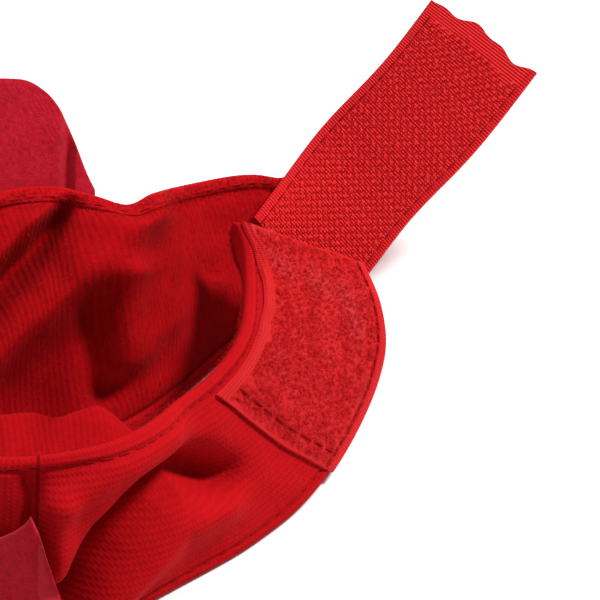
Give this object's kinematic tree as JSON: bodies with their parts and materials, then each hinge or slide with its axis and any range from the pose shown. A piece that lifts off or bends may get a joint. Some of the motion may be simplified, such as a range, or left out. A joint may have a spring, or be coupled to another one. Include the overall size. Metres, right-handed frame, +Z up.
{
  "type": "wrist pin cushion",
  "caption": "Soft wrist pin cushion: a stuffed cushion on a felt base, carried by a two-ply knit band that closes with hook and loop tape.",
  "frame": {"origin": "middle of the footprint of the whole object, on the ground", "axes": "+Z up, the band stands on its lower rim; the cushion faces -X, the closure opens at +X, the near arm lies at -Y"},
  "size_m": [0.1474, 0.1322, 0.0619],
  "materials": {
    "knit": "smooth weft knit",
    "lining": "brushed rib knit",
    "thread": "sewing thread",
    "loop_tape": "brushed loop pile",
    "hook_tape": "woven tape with hooks",
    "felt": "pressed felt",
    "guard": "plain sheet",
    "stuffing": "loose fibre",
    "cushion_cloth": "smooth weft knit"
  },
  "bodies": {
    "centre": {"centre_cover": "knit", "centre_lining": "lining", "centre_topstitch": "thread", "back_seam_thread": "thread", "near_seam_thread": "thread", "felt_base": "felt", "pin_guard_disc": "guard", "cushion_base_disc": "cushion_cloth", "cushion_core": "stuffing", "cushion_cover": "cushion_cloth", "cushion_seam_thread": "thread"},
    "back_arm": {"back_arm_cover": "knit", "back_arm_lining": "lining", "back_arm_topstitch": "thread", "hook_tape_root": "hook_tape", "hook_tape_stitching": "thread"},
    "near_arm": {"near_arm_cover": "knit", "near_arm_lining": "lining", "near_arm_topstitch": "thread"},
    "near_end": {"near_end_cover": "knit", "near_end_lining": "lining", "near_end_topstitch": "thread", "loop_tape": "loop_tape", "loop_tape_stitching": "thread"},
    "tab": {"hook_tape_middle": "hook_tape"},
    "tab_tip": {"hook_tape_tip": "hook_tape"},
    "back_wing": {"felt_wing_back": "felt"},
    "near_wing": {"felt_wing_near": "felt"}
  },
  "joints": [
    {"name": "back_arm_bend", "type": "hinge", "parent": "centre", "child": "back_arm", "pos_m": [-0.00351, 0.00721, 0.01625], "axis": [-0.0455, 0.6714, 0.7397], "range_deg": [0, 20]},
    {"name": "near_arm_bend", "type": "hinge", "parent": "centre", "child": "near_arm", "pos_m": [-0.01776, -0.05729, 0.01675], "axis": [0.0427, 0.2988, 0.9534], "range_deg": [-25, 0]},
    {"name": "near_end_bend", "type": "hinge", "parent": "near_arm", "child": "near_end", "pos_m": [0.01605, -0.03186, 0.01421], "axis": [-0.3248, 0.316, 0.8914], "range_deg": [-18, 0]},
    {"name": "tab_bend", "type": "hinge", "parent": "back_arm", "child": "tab", "pos_m": [0.03898, 0.04166, 0.01877], "axis": [-0.669, 0.464, 0.5807], "range_deg": [-25, 50]},
    {"name": "tab_tip_bend", "type": "hinge", "parent": "tab", "child": "tab_tip", "pos_m": [0.05133, 0.05071, 0.02869], "axis": [-0.7088, 0.4481, 0.5448], "range_deg": [-20, 40]},
    {"name": "back_wing_lift", "type": "hinge", "parent": "centre", "child": "back_wing", "pos_m": [-0.04183, -0.00592, 0.01954], "axis": [0.025, 0.4743, 0.88], "range_deg": [0, 25]},
    {"name": "near_wing_lift", "type": "hinge", "parent": "centre", "child": "near_wing", "pos_m": [-0.03771, -0.05466, 0.01812], "axis": [0.0427, 0.2967, 0.954], "range_deg": [-25, 0]}
  ],
  "couplings": [
    {"joint": "tab_tip_bend", "follows": "tab_bend", "ratio": 0.8}
  ]
}
